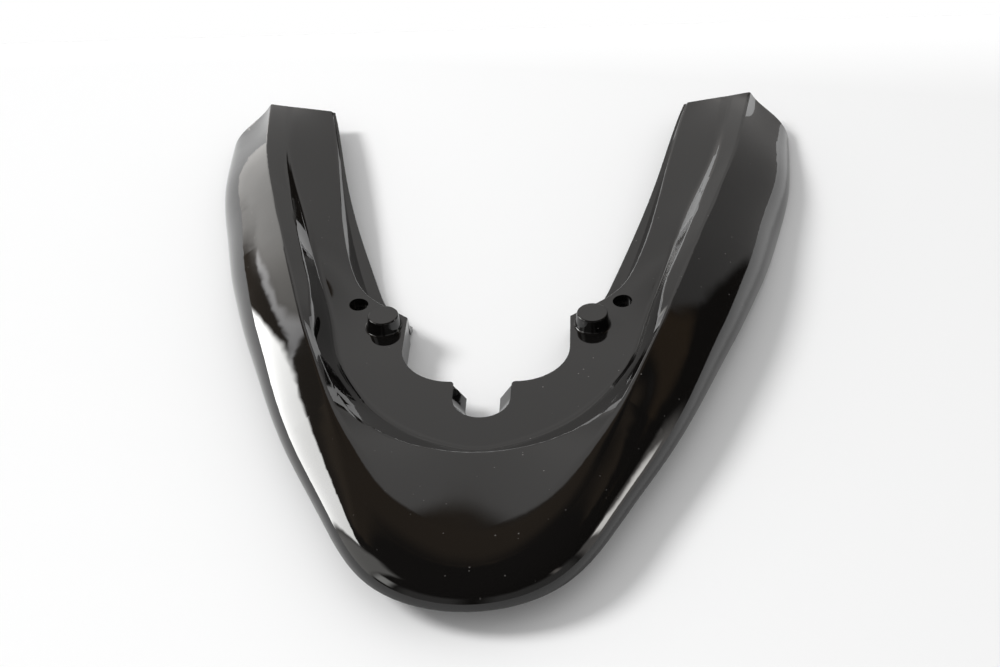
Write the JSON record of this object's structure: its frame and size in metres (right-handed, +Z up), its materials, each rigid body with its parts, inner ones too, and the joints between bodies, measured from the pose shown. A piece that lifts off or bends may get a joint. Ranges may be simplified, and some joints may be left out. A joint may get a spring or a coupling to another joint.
{
  "type": "motorcycle grab rail cover",
  "caption": "U-shaped moulded plastic cover for a scooter's rear grab rail, with a stepped recessed plate, hollow bosses, screw seats and a notched cut-out.",
  "frame": {"origin": "middle of the bounding box on the rest plane", "axes": "+X across the vehicle, +Y towards the arm ends (forwards on the vehicle), +Z up"},
  "size_m": [0.3458, 0.399, 0.0425],
  "materials": {
    "cover_plastic": "gloss black moulding"
  },
  "bodies": {
    "root": {"grab_rail_cover": "cover_plastic"}
  },
  "joints": []
}
